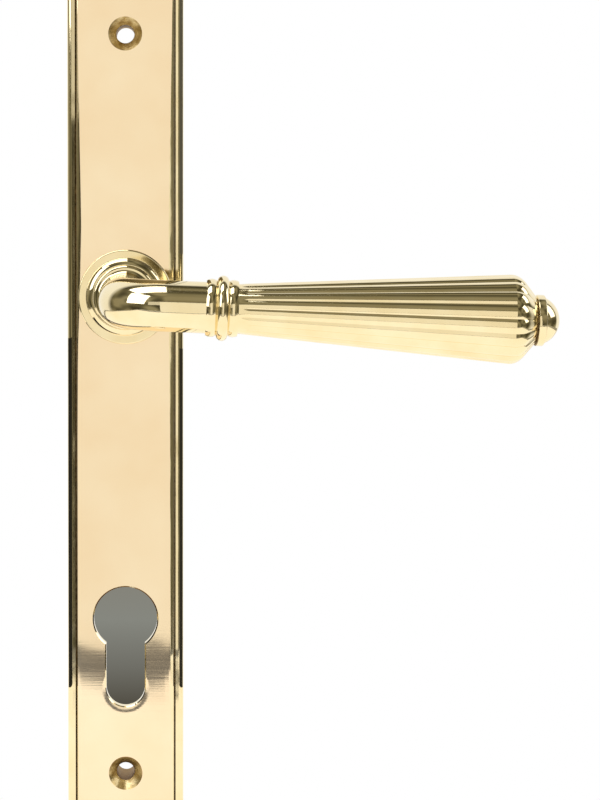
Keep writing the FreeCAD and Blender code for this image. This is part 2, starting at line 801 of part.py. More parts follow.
def build_reeded_grip():
    body = new_body("reeded_grip", True)
    hub = "1 / (1 + reed_ratio)"
    core = new_sketch(body, "core", "XY_Plane", ("0", "-arm_depth", "0"))
    bore = "rod_radius + grip_bore_clearance"
    taper = "(grip_end_radius - grip_start_radius) / grip_length"
    cuff_radius = f"(grip_start_radius + {taper} * reed_cuff) * cuff_sink"
    add_outline(core, "core", [
        ("collar_end", bore),
        ("collar_end", "grip_start_radius"),
        ("collar_end + reed_cuff", cuff_radius),
        ("grip_shoulder", f"grip_end_radius * {hub}"),
        ("grip_end", f"shoulder_radius * {hub}"),
        ("grip_end", bore),
    ])
    revolve(body, core, "H_Axis")

    def reed_section(name, along, crest):
        sketch = new_sketch(body, name, "YZ_Plane", ("-arm_depth", "0", along))
        add_circle(sketch, "reed", "0", f"({crest}) * {hub}", f"({crest}) * reed_ratio * {hub}")
        return sketch

    sections = [reed_section("reed_start", "collar_end", "grip_start_radius")]
    bands = 4
    for band in range(bands + 1):
        turn = f"(shoulder_slope * {band} / {bands})"
        crest = f"grip_end_radius - shoulder_round * (1 - cos({turn}))"
        sections.append(reed_section(f"reed{band}", f"grip_shoulder + shoulder_round * sin({turn})",
                                     crest))
    sections.append(reed_section("reed_end", "grip_end", "shoulder_radius"))
    reed = body.newObject("PartDesign::AdditiveLoft", "reeded_grip_reed")
    reed.Profile = sections[0]
    reed.Sections = sections[1:]
    reed.Ruled = True
    doc.recompute()
    ring = body.newObject("PartDesign::PolarPattern", "reeded_grip_reeds")
    ring.Originals = [reed]
    ring.Axis = (core, ["H_Axis"])
    ring.Angle = 360
    ring.setExpression("Occurrences", bound("reed_count"))
    body.Tip = ring
    doc.recompute()

    seat = new_sketch(body, "locating", "YZ_Plane", ("-arm_depth", "0", "collar_end"))
    add_circle(seat, "locating", "0", "locating_offset", "locating_radius + thread_clearance")
    pocket(body, seat, "locating_depth + thread_clearance", True)
    return body


def build_end_finial():
    cap = "(dome_radius ^ 2 + dome_height ^ 2) / (2 * dome_height)"
    bore = "rod_radius + thread_clearance"
    deep = "grip_end + rod_in_finial + thread_clearance"
    return turned_about_arm("end_finial", [
        ("grip_end", bore),
        ("grip_end", "finial_gap_radius"),
        ("finial_start", "finial_gap_radius"),
        ("finial_start", "finial_radius"),
        ("dome_start", "finial_radius"),
        ("dome_start", "dome_radius"),
        ("dome_start + dome_height", "0", cap, "right"),
        (deep, "0"),
        (deep, bore),
    ])


def build_tie_rod():
    rod = turned_about_arm("tie_rod", [
        ("rod_start", "0"), ("rod_start", "rod_radius"),
        ("grip_end + rod_in_finial", "rod_radius"), ("grip_end + rod_in_finial", "0"),
    ])
    return rod


def build_locating_pin():
    body = new_body("locating_pin", True)
    start = "collar_start + tenon_length - locating_depth"
    round_end = new_sketch(body, "section", "YZ_Plane", ("-arm_depth", "0", start))
    add_circle(round_end, "pin", "0", "locating_offset", "locating_radius")
    pad(body, round_end, f"collar_end + locating_depth - ({start})")
    return body


def build_spindle():
    body = new_body("spindle", True)
    section = new_sketch(body, "section", "XZ_Plane", ("0", "0", "-spindle_reach"))
    add_outline(section, "square", square("spindle_width / 2"))
    bar = pad(body, section, "spindle_reach + spindle_in_neck")
    blend_edges(body, "Chamfer", bar, at_depth(-size("spindle_reach")), "spindle_chamfer")
    return body


def build_grub_screw():
    body = new_body("grub_screw", True)
    section = new_sketch(body, "section", "XY_Plane", ("0", "0", "grub_recess - neck_radius"))
    add_circle(section, "screw", "0", "-grub_depth", "grub_radius")
    pad(body, section, "neck_radius - grub_recess - grub_tip")
    socket = new_sketch(body, "socket", "XY_Plane", ("0", "0", "grub_recess - neck_radius"))
    add_outline(socket, "hexagon", [
        (f"grub_socket * cos({angle})", f"grub_socket * sin({angle}) - grub_depth")
        for angle in range(0, 360, 60)
    ])
    pocket(body, socket, "grub_socket_depth", True)
    return body


def build_drive_cam():
    body = new_body("drive_cam", True)
    disc = new_sketch(body, "disc", "XZ_Plane", ("0", "0", "cam_back"))
    add_circle(disc, "disc", "0", "0", "cam_radius")
    pad(body, disc, "cam_thickness")
    arm = new_sketch(body, "arm", "XZ_Plane", ("0", "0", "cam_back"))
    add_outline(arm, "arm", [
        ("-cam_arm_width / 2", "0"), ("cam_arm_width / 2", "0"),
        ("cam_arm_width / 2", "lug_outer"), ("-cam_arm_width / 2", "lug_outer"),
    ])
    pad(body, arm, "cam_thickness")
    lobe = new_sketch(body, "lobe", "XZ_Plane", ("0", "0", "cam_back"))
    across = "stop_lobe_radius * sin(stop_lobe_angle / 2)"
    down = "-stop_lobe_radius * cos(stop_lobe_angle / 2)"
    add_outline(lobe, "lobe", [
        ("0", "0"), (f"-{across}", down), (across, down, "stop_lobe_radius", "left"),
    ])
    pad(body, lobe, "cam_thickness")
    lug = new_sketch(body, "lug", "XZ_Plane", ("0", "0", "cam_front"))
    add_outline(lug, "lug", [
        ("-lug_width / 2", "lug_inner"), ("lug_width / 2", "lug_inner"),
        ("lug_width / 2", "lug_outer"), ("-lug_width / 2", "lug_outer"),
    ])
    pad(body, lug, "spring_zone - lug_top_gap")
    key = new_sketch(body, "key", "XZ_Plane", ("0", "0", "cam_back"))
    half = "spigot_flats / 2 + cam_clearance"
    round_part = "spigot_radius + cam_clearance"
    rise = f"sqrt(({round_part}) ^ 2 - ({half}) ^ 2)"
    add_outline(key, "key", [
        (half, f"-{rise}"),
        (half, rise),
        (f"-({half})", rise, round_part, "left"),
        (f"-({half})", f"-{rise}"),
        (half, f"-{rise}", round_part, "left"),
    ][1:])
    pocket(body, key, "cam_thickness", True)
    return body


def build_retaining_circlip():
    body = new_body("retaining_circlip", True)
    ring = new_sketch(body, "ring", "XZ_Plane", ("0", "0", "circlip_back"))
    add_circle(ring, "outside", "0", "0", "circlip_radius")
    add_circle(ring, "inside", "0", "0", "circlip_groove + circlip_clearance")
    pad(body, ring, "circlip_thickness")
    lugs = new_sketch(body, "lugs", "XZ_Plane", ("0", "0", "circlip_back"))
    drop = "-sqrt(circlip_lug_circle ^ 2 - (circlip_gap / 2 + circlip_lug) ^ 2)"
    for name, side in (("left", "-1"), ("right", "1")):
        x = f"{side} * (circlip_gap / 2 + circlip_lug)"
        add_circle(lugs, name, x, drop, "circlip_lug")
    pad(body, lugs, "circlip_thickness")
    gap = new_sketch(body, "gap", "XZ_Plane", ("0", "0", "circlip_back"))
    edge = "circlip_gap / 2"
    add_outline(gap, "gap", [
        (f"-{edge}", "-circlip_radius - circlip_lug"), (edge, "-circlip_radius - circlip_lug"),
        (edge, "0"), (f"-{edge}", "0"),
    ])
    for name, side in (("left", "-1"), ("right", "1")):
        x = f"{side} * (circlip_gap / 2 + circlip_lug)"
        add_circle(gap, name, x, drop, "circlip_hole")
    pocket(body, gap, "circlip_thickness", True)
    return body


def build_spring_washer():
    back = "circlip_front + circlip_clearance"
    return turned_about_spindle("spring_washer", [
        ("washer_bore", back),
        ("dish_radius", f"{back} + dish_rise"),
        ("dish_radius", f"{back} + dish_rise + dish_thickness"),
        ("washer_bore", f"{back} + dish_thickness"),
    ], True)


def build_thrust_washer():
    return turned_about_spindle("thrust_washer", [
        ("washer_bore", "thrust_back"), ("thrust_radius", "thrust_back"),
        ("thrust_radius", "thrust_front"), ("washer_bore", "thrust_front"),
    ], True)


POSTS = [(x, z) for x in ("-post_across", "post_across") for z in ("post_top", "-post_bottom")]
STOP_ANGLE = ("(stop_range + stop_lobe_angle / 2"
              " + asin((stop_pin_radius + stop_clearance) / stop_pin_circle) / 1 deg)")
STOP_PINS = [(f"{side} * stop_pin_circle * sin({STOP_ANGLE})",
              f"-stop_pin_circle * cos({STOP_ANGLE})") for side in ("-1", "1")]

pieces = [
    build_backplate(), build_rose_ring(), build_neck_bush(), build_cover_plate(),
    build_cover_screws(), build_stop_pins(), build_spring_anchor_pin(), build_return_spring(),
    build_lever_neck(), build_collar_ring(), build_reeded_grip(), build_end_finial(),
    build_tie_rod(), build_locating_pin(), build_spindle(), build_grub_screw(),
    build_drive_cam(), build_retaining_circlip(), build_spring_washer(), build_thrust_washer(),
]
doc.recompute()

for item in doc.Objects:
    if "Invalid" in item.State or "Error" in item.State:
        raise RuntimeError(f"{item.Label} failed: {item.State}")
for piece in pieces:
    if piece.Shape.isNull() or not piece.Shape.isValid():
        raise RuntimeError(f"{piece.Label} has no valid shape")

os.makedirs("parts", exist_ok=True)
for piece in pieces:
    piece.Shape.exportStep(f"parts/{piece.Label}.step")
    box = piece.Shape.BoundBox
    print(f"{piece.Label}: {len(piece.Shape.Solids)} solids, {piece.Shape.Volume:.1f} mm3,",
          f"x {box.XMin:.2f} {box.XMax:.2f} y {box.YMin:.2f} {box.YMax:.2f}",
          f"z {box.ZMin:.2f} {box.ZMax:.2f}")
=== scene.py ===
import math

import bpy
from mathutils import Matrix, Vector


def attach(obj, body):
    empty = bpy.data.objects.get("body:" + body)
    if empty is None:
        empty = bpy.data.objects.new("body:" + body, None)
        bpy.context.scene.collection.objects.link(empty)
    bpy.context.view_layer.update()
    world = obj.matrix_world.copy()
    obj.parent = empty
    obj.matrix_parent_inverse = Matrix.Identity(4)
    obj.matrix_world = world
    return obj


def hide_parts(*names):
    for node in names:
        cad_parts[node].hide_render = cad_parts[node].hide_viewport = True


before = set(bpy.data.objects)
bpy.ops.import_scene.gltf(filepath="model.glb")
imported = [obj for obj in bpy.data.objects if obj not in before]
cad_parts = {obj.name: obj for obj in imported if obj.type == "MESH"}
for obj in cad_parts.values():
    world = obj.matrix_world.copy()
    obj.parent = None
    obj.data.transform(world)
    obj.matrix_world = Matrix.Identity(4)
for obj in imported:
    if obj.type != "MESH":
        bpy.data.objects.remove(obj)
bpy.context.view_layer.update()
mm = 0.001
quarterBulge = 0.41     # bulge of a quarter round, about tan(90 / 4)
hair = 1e-6             # metres, below which two places count as one
slack = 0.01            # mm, the same when places are told apart in millimetres
print("frame loaded,", len(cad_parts), "nodes")

# small helpers


def objectMode():
    bpy.ops.object.mode_set(mode="OBJECT")


def editMode():
    bpy.ops.object.mode_set(mode="EDIT")


def selectAll():
    bpy.ops.mesh.select_all(action="SELECT")


def clearSelection():
    if bpy.context.object and bpy.context.object.mode != "OBJECT":
        objectMode()
    bpy.ops.object.select_all(action="DESELECT")


def pickOnly(piece):
    clearSelection()
    piece.select_set(True)
    bpy.context.view_layer.objects.active = piece


def mergeClose(gap=0.002):
    bpy.ops.mesh.remove_doubles(threshold=gap * mm)


def pullOut(x, y, z):
    # extrudes what is selected by a step in metres
    bpy.ops.mesh.extrude_region_move(TRANSFORM_OT_translate={"value": (x, y, z)})


def startAtPoint(name, place):
    # one loose vertex to draw an outline from: a small plane merged at its middle
    clearSelection()
    bpy.ops.mesh.primitive_plane_add(size=mm, location=(0, 0, 0))
    piece = bpy.context.object
    piece.name = name
    piece.data.name = name
    editMode()
    bpy.ops.mesh.select_mode(type="VERT")
    selectAll()
    bpy.ops.mesh.merge(type="CENTER")
    bpy.ops.transform.translate(value=place)
    return piece


def drawTo(here, there):
    pullOut(*(Vector(there) - Vector(here)))


def arcPoints(start, end, bulge, count):
    # points after start on a flat arc; bulge is its height over half its chord, + to the left of travel
    (x0, y0), (x1, y1) = start, end
    half = math.hypot(x1 - x0, y1 - y0) / 2
    rise = abs(bulge) * half
    radius = (half * half + rise * rise) / (2 * rise)
    side = math.copysign(1, bulge)
    nx, ny = -(y1 - y0) / (2 * half), (x1 - x0) / (2 * half)
    cx = (x0 + x1) / 2 - side * nx * (radius - rise)
    cy = (y0 + y1) / 2 - side * ny * (radius - rise)
    first = math.atan2(y0 - cy, x0 - cx)
    sweep = math.atan2(y1 - cy, x1 - cx) - first
    if side > 0:
        sweep = -((-sweep) % (2 * math.pi))
    else:
        sweep = sweep % (2 * math.pi)
    points = []
    for part in range(1, count + 1):
        turn = first + sweep * part / count
        points.append((cx + radius * math.cos(turn), cy + radius * math.sin(turn)))
    return points


def profileFrom(corners):
    # corners are (a, b) for a straight run or (a, b, bulge, count) for an arc up to that corner
    points = [corners[0][:2]]
    for corner in corners[1:]:
        if len(corner) == 2:
            points.append(corner)
        else:
            points += arcPoints(points[-1], corner[:2], corner[2], corner[3])
    return points


def closeAndFace(piece):
    pickOnly(piece)
    editMode()
    selectAll()
    mergeClose()
    bpy.ops.mesh.normals_make_consistent(inside=False)
    objectMode()


def turnPiece(name, corners, about, steps=160):
    # a lathe: the profile is drawn point by point, then spun round the spindle or the arm
    if about == "spindle":  # corners are (radius, depth)
        places = [(a * mm, -b * mm, 0) for a, b in profileFrom(corners)]
        centre, axis = (0, 0, 0), (0, 1, 0)
    else:  # corners are (distance along the arm, radius)
        places = [(a * mm, -arm["depth"] * mm, b * mm) for a, b in profileFrom(corners)]
        centre, axis = (0, -arm["depth"] * mm, 0), (1, 0, 0)
    piece = startAtPoint(name, places[0])
    for here, there in zip(places, places[1:]):
        drawTo(here, there)
    selectAll()
    bpy.ops.mesh.spin(steps=steps, angle=2 * math.pi, center=centre, axis=axis)
    closeAndFace(piece)
    return piece


def smooth(piece, degrees):
    pickOnly(piece)
    bpy.ops.object.shade_smooth_by_angle(angle=math.radians(degrees), keep_sharp_edges=False)
    bpy.ops.object.modifier_add(type="WEIGHTED_NORMAL")
    change = piece.modifiers[-1]
    change.keep_sharp = True
    change.weight = 60
    bpy.ops.object.modifier_apply(modifier=change.name)


def cutWith(piece, tool, operation="DIFFERENCE"):
    pickOnly(piece)
    bpy.ops.object.modifier_add(type="BOOLEAN")
    change = piece.modifiers[-1]
    change.operation = operation
    change.solver = "EXACT"
    change.object = tool
    bpy.ops.object.modifier_apply(modifier=change.name)
    pickOnly(tool)
    bpy.ops.object.delete()


def bakePlace(piece):
    pickOnly(piece)
    bpy.ops.object.transform_apply(location=True, rotation=True, scale=True)


def block(name, low, high):
    clearSelection()
    middle = [(a + b) / 2 * mm for a, b in zip(low, high)]
    size = [(b - a) * mm for a, b in zip(low, high)]
    bpy.ops.mesh.primitive_cube_add(size=1, location=middle, scale=size)
    piece = bpy.context.object
    piece.name = name
    piece.data.name = name
    bakePlace(piece)
    return piece


def rod(name, x, z, radius, back, front, sides=64):
    # a round bar through the plate, from the depth back to the depth front
    clearSelection()
    bpy.ops.mesh.primitive_cylinder_add(vertices=sides, radius=radius * mm, depth=(front - back) * mm,
                                        location=(x * mm, -(front + back) / 2 * mm, z * mm),
                                        rotation=(math.pi / 2, 0, 0))
    piece = bpy.context.object
    piece.name = name
    bakePlace(piece)
    return piece


def selectEdges(piece, test):
    # selects, in edit mode, the edges whose two ends pass the test
    pickOnly(piece)
    editMode()
    bpy.ops.mesh.select_mode(type="EDGE")
    bpy.ops.mesh.select_all(action="DESELECT")
    objectMode()
    corners = piece.data.vertices
    for edge in piece.data.edges:
        a, b = (corners[i].co for i in edge.vertices)
        edge.select = bool(test(a, b))
    editMode()


def selectFaces(piece, test):
    pickOnly(piece)
    editMode()
    bpy.ops.mesh.select_mode(type="FACE")
    bpy.ops.mesh.select_all(action="DESELECT")
    objectMode()
    for face in piece.data.polygons:
        face.select = bool(test(face))
    editMode()


def roundEdges(piece, test, width, segments):
    selectEdges(piece, test)
    bpy.ops.mesh.bevel(offset=width * mm, segments=segments, affect="EDGES", clamp_overlap=False)
    objectMode()


def insetFace(inward, forward):
    # insets the selected face; forward lifts it along its own normal
    bpy.ops.mesh.inset(thickness=inward * mm, depth=forward * mm, use_even_offset=True)


# finishes


def colour(code):
    # sRGB hex to the linear values that a shader takes
    parts = [int(code[i:i + 2], 16) / 255 for i in (0, 2, 4)]
    linear = [c / 12.92 if c <= 0.04045 else ((c + 0.055) / 1.055) ** 2.4 for c in parts]
    return (*linear, 1)


def newMaterial(name):
    made = bpy.data.materials.new(name)
    made.use_nodes = True
    made.node_tree.nodes.clear()
    return made


def add(made, kind, links=(), values=(), stops=(), **settings):
    # adds one node; links are (input, node, output), values are (input, value), stops are (place, colour)
    node = made.node_tree.nodes.new(kind)
    for key, value in settings.items():
        setattr(node, key, value)
    for key, value in values:
        node.inputs[key].default_value = value
    for key, source, output in links:
        made.node_tree.links.new(source.outputs[output], node.inputs[key])
    if stops:
        bar = node.color_ramp.elements
        while len(bar) < len(stops):
            bar.new(0.5)
        for element, (place, value) in zip(bar, stops):
            element.position = place
            element.color = value
    return node


brass = {
    "body": "f6e8c1",       # yellow brass, about 63/37, as polished metal reflects it
    "warm": "f0deb0",       # the same where the lacquer lies thicker
    "flat": "fae8c8",       # the plate's face, a little paler and pinker than the lever
    "flatWarm": "f5ddb8",
    "buffed": 0.05,         # roughness left by the mop
    "worn": 0.12,           # roughness in the dull patches
    "brushed": 0.05,        # roughness of the plate's face
    "clouds": 9.0,          # mm, the size of dull patches
    "scratch": 0.5,         # mm, the size of fine marks
    "wave": 14.0,           # mm, the slow waviness that hand polishing leaves
    "grain": 0.35,          # mm between linishing lines; real ones are about 0.1, drawn coarse to show
    "stroke": 22.0,         # mm, how long such a line runs
    "flatClouds": 24.0,
    "flatWave": 30.0,
    "chatter": 1.6,         # mm between the marks of a shaking cutter
    "rings": 0.35,          # mm between the cutter's rings
    "shadeGrain": 0.8,           # mm, the size of grains in the painted corner shade
    "sand": 0.6,            # mm, grit of the mould
    "stain": 11.0,
}


def polishedBrass():
    # solid brass buffed on a mop and lacquered: a near mirror with slow waves and faint dull clouds
    made = newMaterial("polishedBrass")
    place = add(made, "ShaderNodeTexCoord")
    clouds = add(made, "ShaderNodeTexNoise", [("Vector", place, "Object")],
                 [("Scale", 1 / (brass["clouds"] * mm)), ("Detail", 4)])
    tint = add(made, "ShaderNodeValToRGB", [("Fac", clouds, "Fac")],
               stops=[(0.35, colour(brass["body"])), (0.75, colour(brass["warm"]))])
    dull = add(made, "ShaderNodeMapRange", [("Value", clouds, "Fac")],
               [("From Min", 0.35), ("From Max", 0.8),
                ("To Min", brass["buffed"]), ("To Max", brass["worn"])])
    waves = add(made, "ShaderNodeTexNoise", [("Vector", place, "Object")],
                [("Scale", 1 / (brass["wave"] * mm)), ("Detail", 1.5)])
    scratch = add(made, "ShaderNodeTexNoise", [("Vector", place, "Object")],
                  [("Scale", 1 / (brass["scratch"] * mm)), ("Detail", 2)])
    slow = add(made, "ShaderNodeBump", [("Height", waves, "Fac")],
               [("Strength", 0.35), ("Distance", 0.6 * mm)])
    fine = add(made, "ShaderNodeBump", [("Height", scratch, "Fac"), ("Normal", slow, "Normal")],
               [("Strength", 0.05), ("Distance", 0.02 * mm)])
    shader = add(made, "ShaderNodeBsdfPrincipled",
                 [("Base Color", tint, "Color"), ("Roughness", dull, "Result"), ("Normal", fine, "Normal")],
                 [("Metallic", 1)])
    add(made, "ShaderNodeOutputMaterial", [("Surface", shader, "BSDF")])
    return made


def linishedBrass():
    # the plate's flat, drawn across a belt: fine level lines that spread the light up and down
    made = newMaterial("linishedBrass")
    place = add(made, "ShaderNodeTexCoord")
    along = 1 / (brass["stroke"] * mm)
    across = add(made, "ShaderNodeMapping", [("Vector", place, "Object")],
                 [("Scale", (along, along, 1 / (brass["grain"] * mm)))])
    lines = add(made, "ShaderNodeTexNoise", [("Vector", across, "Vector")], [("Scale", 1), ("Detail", 3)])
    clouds = add(made, "ShaderNodeTexNoise", [("Vector", place, "Object")],
                 [("Scale", 1 / (brass["flatClouds"] * mm)), ("Detail", 3)])
    tint = add(made, "ShaderNodeValToRGB", [("Fac", clouds, "Fac")],
               stops=[(0.3, colour(brass["flat"])), (0.75, colour(brass["flatWarm"]))])
    dull = add(made, "ShaderNodeMapRange", [("Value", lines, "Fac")],
               [("From Min", 0.3), ("From Max", 0.7),
                ("To Min", brass["brushed"] * 0.75), ("To Max", brass["brushed"] * 1.3)])
    waves = add(made, "ShaderNodeTexNoise", [("Vector", place, "Object")],
                [("Scale", 1 / (brass["flatWave"] * mm)), ("Detail", 1)])
    slow = add(made, "ShaderNodeBump", [("Height", waves, "Fac")],
               [("Strength", 0.3), ("Distance", 0.8 * mm)])
    fine = add(made, "ShaderNodeBump", [("Height", lines, "Fac"), ("Normal", slow, "Normal")],
               [("Strength", 0.07), ("Distance", 0.02 * mm)])
    shader = add(made, "ShaderNodeBsdfPrincipled",
                 [("Base Color", tint, "Color"), ("Roughness", dull, "Result"), ("Normal", fine, "Normal")],
                 [("Metallic", 1)])
    add(made, "ShaderNodeOutputMaterial", [("Surface", shader, "BSDF")])
    return made


def drilledBrass():
    # the countersinks, as a cutter left them: rings and chatter, in a browner, darker brass than the face,
    # patchy with the chatter
    made = newMaterial("drilledBrass")
    place = add(made, "ShaderNodeTexCoord")
    chatter = add(made, "ShaderNodeTexNoise", [("Vector", place, "Object")],
                  [("Scale", 1 / (brass["chatter"] * mm)), ("Detail", 3)])
    tint = add(made, "ShaderNodeValToRGB", [("Fac", chatter, "Fac")],
               stops=[(0.35, colour("e6d3a4")), (0.65, colour("b49b68"))])
    rings = add(made, "ShaderNodeTexNoise", [("Vector", place, "Object")],
                [("Scale", 1 / (brass["rings"] * mm)), ("Detail", 2)])
    rough = add(made, "ShaderNodeBump", [("Height", rings, "Fac")],
                [("Strength", 0.3), ("Distance", 0.05 * mm)])
    shader = add(made, "ShaderNodeBsdfPrincipled",
                 [("Base Color", tint, "Color"), ("Normal", rough, "Normal")],
                 [("Metallic", 1), ("Roughness", 0.26)])
    add(made, "ShaderNodeOutputMaterial", [("Surface", shader, "BSDF")])
    return made


def paintedCornerShade():
    # painted shade: a dull brown line put into narrow corners, the walls of the border's groove and the gap
    # before the finial, where these fall dark
    made = newMaterial("paintedCornerShade")
    place = add(made, "ShaderNodeTexCoord")
    shadeGrain = add(made, "ShaderNodeTexNoise", [("Vector", place, "Object")],
                [("Scale", 1 / (brass["shadeGrain"] * mm)), ("Detail", 4)])
    tint = add(made, "ShaderNodeValToRGB", [("Fac", shadeGrain, "Fac")],
               stops=[(0.35, colour("6b5532")), (0.7, colour("b39a66"))])
    lump = add(made, "ShaderNodeBump", [("Height", shadeGrain, "Fac")],
               [("Strength", 0.4), ("Distance", 0.03 * mm)])
    shader = add(made, "ShaderNodeBsdfPrincipled",
                 [("Base Color", tint, "Color"), ("Normal", lump, "Normal")],
                 [("Metallic", 0.8), ("Roughness", 0.45)])
    add(made, "ShaderNodeOutputMaterial", [("Surface", shader, "BSDF")])
    return made


def castBrass():
    # the sand-cast back, left as it came from the mould: grainy, dull and a little brown
    made = newMaterial("castBrass")
    place = add(made, "ShaderNodeTexCoord")
    sand = add(made, "ShaderNodeTexNoise", [("Vector", place, "Object")],
               [("Scale", 1 / (brass["sand"] * mm)), ("Detail", 4)])
    stain = add(made, "ShaderNodeTexNoise", [("Vector", place, "Object")],
                [("Scale", 1 / (brass["stain"] * mm)), ("Detail", 3)])
    tint = add(made, "ShaderNodeValToRGB", [("Fac", stain, "Fac")],
               stops=[(0.3, colour("b8924f")), (0.7, colour("8f6f3c"))])
    dull = add(made, "ShaderNodeMapRange", [("Value", sand, "Fac")], [("To Min", 0.38), ("To Max", 0.62)])
    rough = add(made, "ShaderNodeBump", [("Height", sand, "Fac")],
                [("Strength", 0.6), ("Distance", 0.12 * mm)])
    shader = add(made, "ShaderNodeBsdfPrincipled",
                 [("Base Color", tint, "Color"), ("Roughness", dull, "Result"), ("Normal", rough, "Normal")],
                 [("Metallic", 1)])
    add(made, "ShaderNodeOutputMaterial", [("Surface", shader, "BSDF")])
    return made


def steel(name, light, dark, cloud, smoothest, dullest, lump):
    # turned or pressed steel: a speckled grey whose shine changes from patch to patch
    made = newMaterial(name)
    place = add(made, "ShaderNodeTexCoord")
    spangle = add(made, "ShaderNodeTexVoronoi", [("Vector", place, "Object")], [("Scale", 1 / (cloud * mm))])
    stain = add(made, "ShaderNodeTexNoise", [("Vector", place, "Object")],
                [("Scale", 1 / (4 * cloud * mm)), ("Detail", 4)])
    tint = add(made, "ShaderNodeValToRGB", [("Fac", stain, "Fac")],
               stops=[(0.35, colour(light)), (0.7, colour(dark))])
    dull = add(made, "ShaderNodeMapRange", [("Value", spangle, "Distance")],
               [("To Min", smoothest), ("To Max", dullest)])
    rough = add(made, "ShaderNodeBump", [("Height", spangle, "Distance")],
                [("Strength", 0.15), ("Distance", lump * mm)])
    shader = add(made, "ShaderNodeBsdfPrincipled",
                 [("Base Color", tint, "Color"), ("Roughness", dull, "Result"), ("Normal", rough, "Normal")],
                 [("Metallic", 1)])
    add(made, "ShaderNodeOutputMaterial", [("Surface", shader, "BSDF")])
    return made


def naturalAcetal():
    # natural acetal bearing plastic: milky, faintly waxy, with turning marks
    made = newMaterial("naturalAcetal")
    place = add(made, "ShaderNodeTexCoord")
    cloud = add(made, "ShaderNodeTexNoise", [("Vector", place, "Object")],
                [("Scale", 1 / (3 * mm)), ("Detail", 3)])
    tint = add(made, "ShaderNodeValToRGB", [("Fac", cloud, "Fac")],
               stops=[(0.3, colour("ecebe2")), (0.7, colour("dcdacd"))])
    marks = add(made, "ShaderNodeBump", [("Height", cloud, "Fac")],
                [("Strength", 0.1), ("Distance", 0.05 * mm)])
    shader = add(made, "ShaderNodeBsdfPrincipled",
                 [("Base Color", tint, "Color"), ("Normal", marks, "Normal")],
                 [("Roughness", 0.42), ("IOR", 1.48), ("Subsurface Weight", 0.1), ("Subsurface Scale", mm),
                  ("Subsurface Radius", (1, 0.9, 0.8))])
    add(made, "ShaderNodeOutputMaterial", [("Surface", shader, "BSDF")])
    return made


finish = {
    "polished": polishedBrass(),
    "linished": linishedBrass(),
    "cast": castBrass(),
    "drilled": drilledBrass(),
    "cornerShade": paintedCornerShade(),
    # steels: name, light and dark tone, patch in mm, least and most roughness, bump in mm
    "zinc": steel("zincPlate", "c9ccd0", "a6acb4", 0.9, 0.2, 0.42, 0.03),
    "plain": steel("turnedSteel", "a9a9a6", "84847f", 0.5, 0.25, 0.45, 0.02),
    "spring": steel("oiledSpringWire", "4b4c50", "33343a", 0.7, 0.25, 0.4, 0.01),
    "acetal": naturalAcetal(),
}
print("finishes made:", ", ".join(sorted(finish)))


def dress(piece, *names):
    piece.data.materials.clear()
    for name in names:
        piece.data.materials.append(finish[name])


# backplate; lengths are in mm, and depths are measured forward from the door

plate = {
    "width": 33.0, "top": 91.0, "foot": -153.0,
    "border": 13.4, "face": 14.0,           # depths of the border and of the raised face
    "corner": 3.0, "edgeRound": 1.6,
    "ledge": 0.6, "crown": 0.055,           # the border's flat and its slight crown
    "groove": 0.5, "grooveDepth": 0.5, "overlap": 0.05,
    "flatBack": 12.0, "faceRound": 0.3,
    "rolled": ((0.5, 0.15), (0.6, 0.03), (1.2, 0.012)),     # run inward, rise
    # the roll is hand made, so its width wanders: height, then more width left and right
    "rollWidths": ((80.0, -0.3, 0.0), (52.0, 0.1, 0.5), (20.0, 0.6, 1.0),
                   (-14.0, -0.2, 0.9), (-40.0, -0.4, 0.6), (-100.0, -0.4, 0.5)),
    "wall": 2.3, "ceiling": 11.4, "hollowCorner": 1.2, "hollowFillet": 0.8,
    "root": 0.5,                            # how far pillars, posts and ribs reach into the casting
    "screws": (74.5, -136.5), "screwHole": 2.6, "sink": 4.8, "pillar": 5.2,
    "over": 0.1, "past": 0.3,               # how far a cutter starts before the face and ends past it
    "posts": ((-9.4, 22.6), (9.4, 22.6), (-9.4, -20.6), (9.4, -20.6)), "post": 3.1, "postBack": 1.5,
    "tap": 1.47, "tapDeep": 8.5,
    "ribs": (49.0, -60.0), "rib": 2.0, "ribBack": 3.0, "ribIn": 0.4,
    "ringHole": 10.0, "ringBack": 5.0,
    "lock": -92.0, "lockRound": 9.05, "lockSlot": 5.5, "lockFoot": -117.25,
    "lockLip": 0.35, "skin": 0.02,
    "burnish": -112.5, "burnishWide": 7.0, "burnishSlope": 0.04,
    "boreSeen": 3.0, "castRim": 0.3,        # where drilled and cast finishes end
}
plateHalf = plate["width"] / 2
flatInset = plate["edgeRound"] + plate["ledge"] + plate["groove"]
flatEdge = plateHalf - flatInset
flatFoot = plate["face"] - sum(rise for run, rise in plate["rolled"])    # depth where the roll begins
throughDepth = 16.0     # any depth in front of the plate


def alongDepth(a, b):
    return abs(a.x - b.x) < hair and abs(a.z - b.z) < hair


def atDepth(depth):
    return lambda a, b: abs(a.y + depth * mm) < hair and abs(b.y + depth * mm) < hair


def frontFace(depth):
    return lambda face: abs(face.center.y + depth * mm) < hair and face.normal.y < -0.99


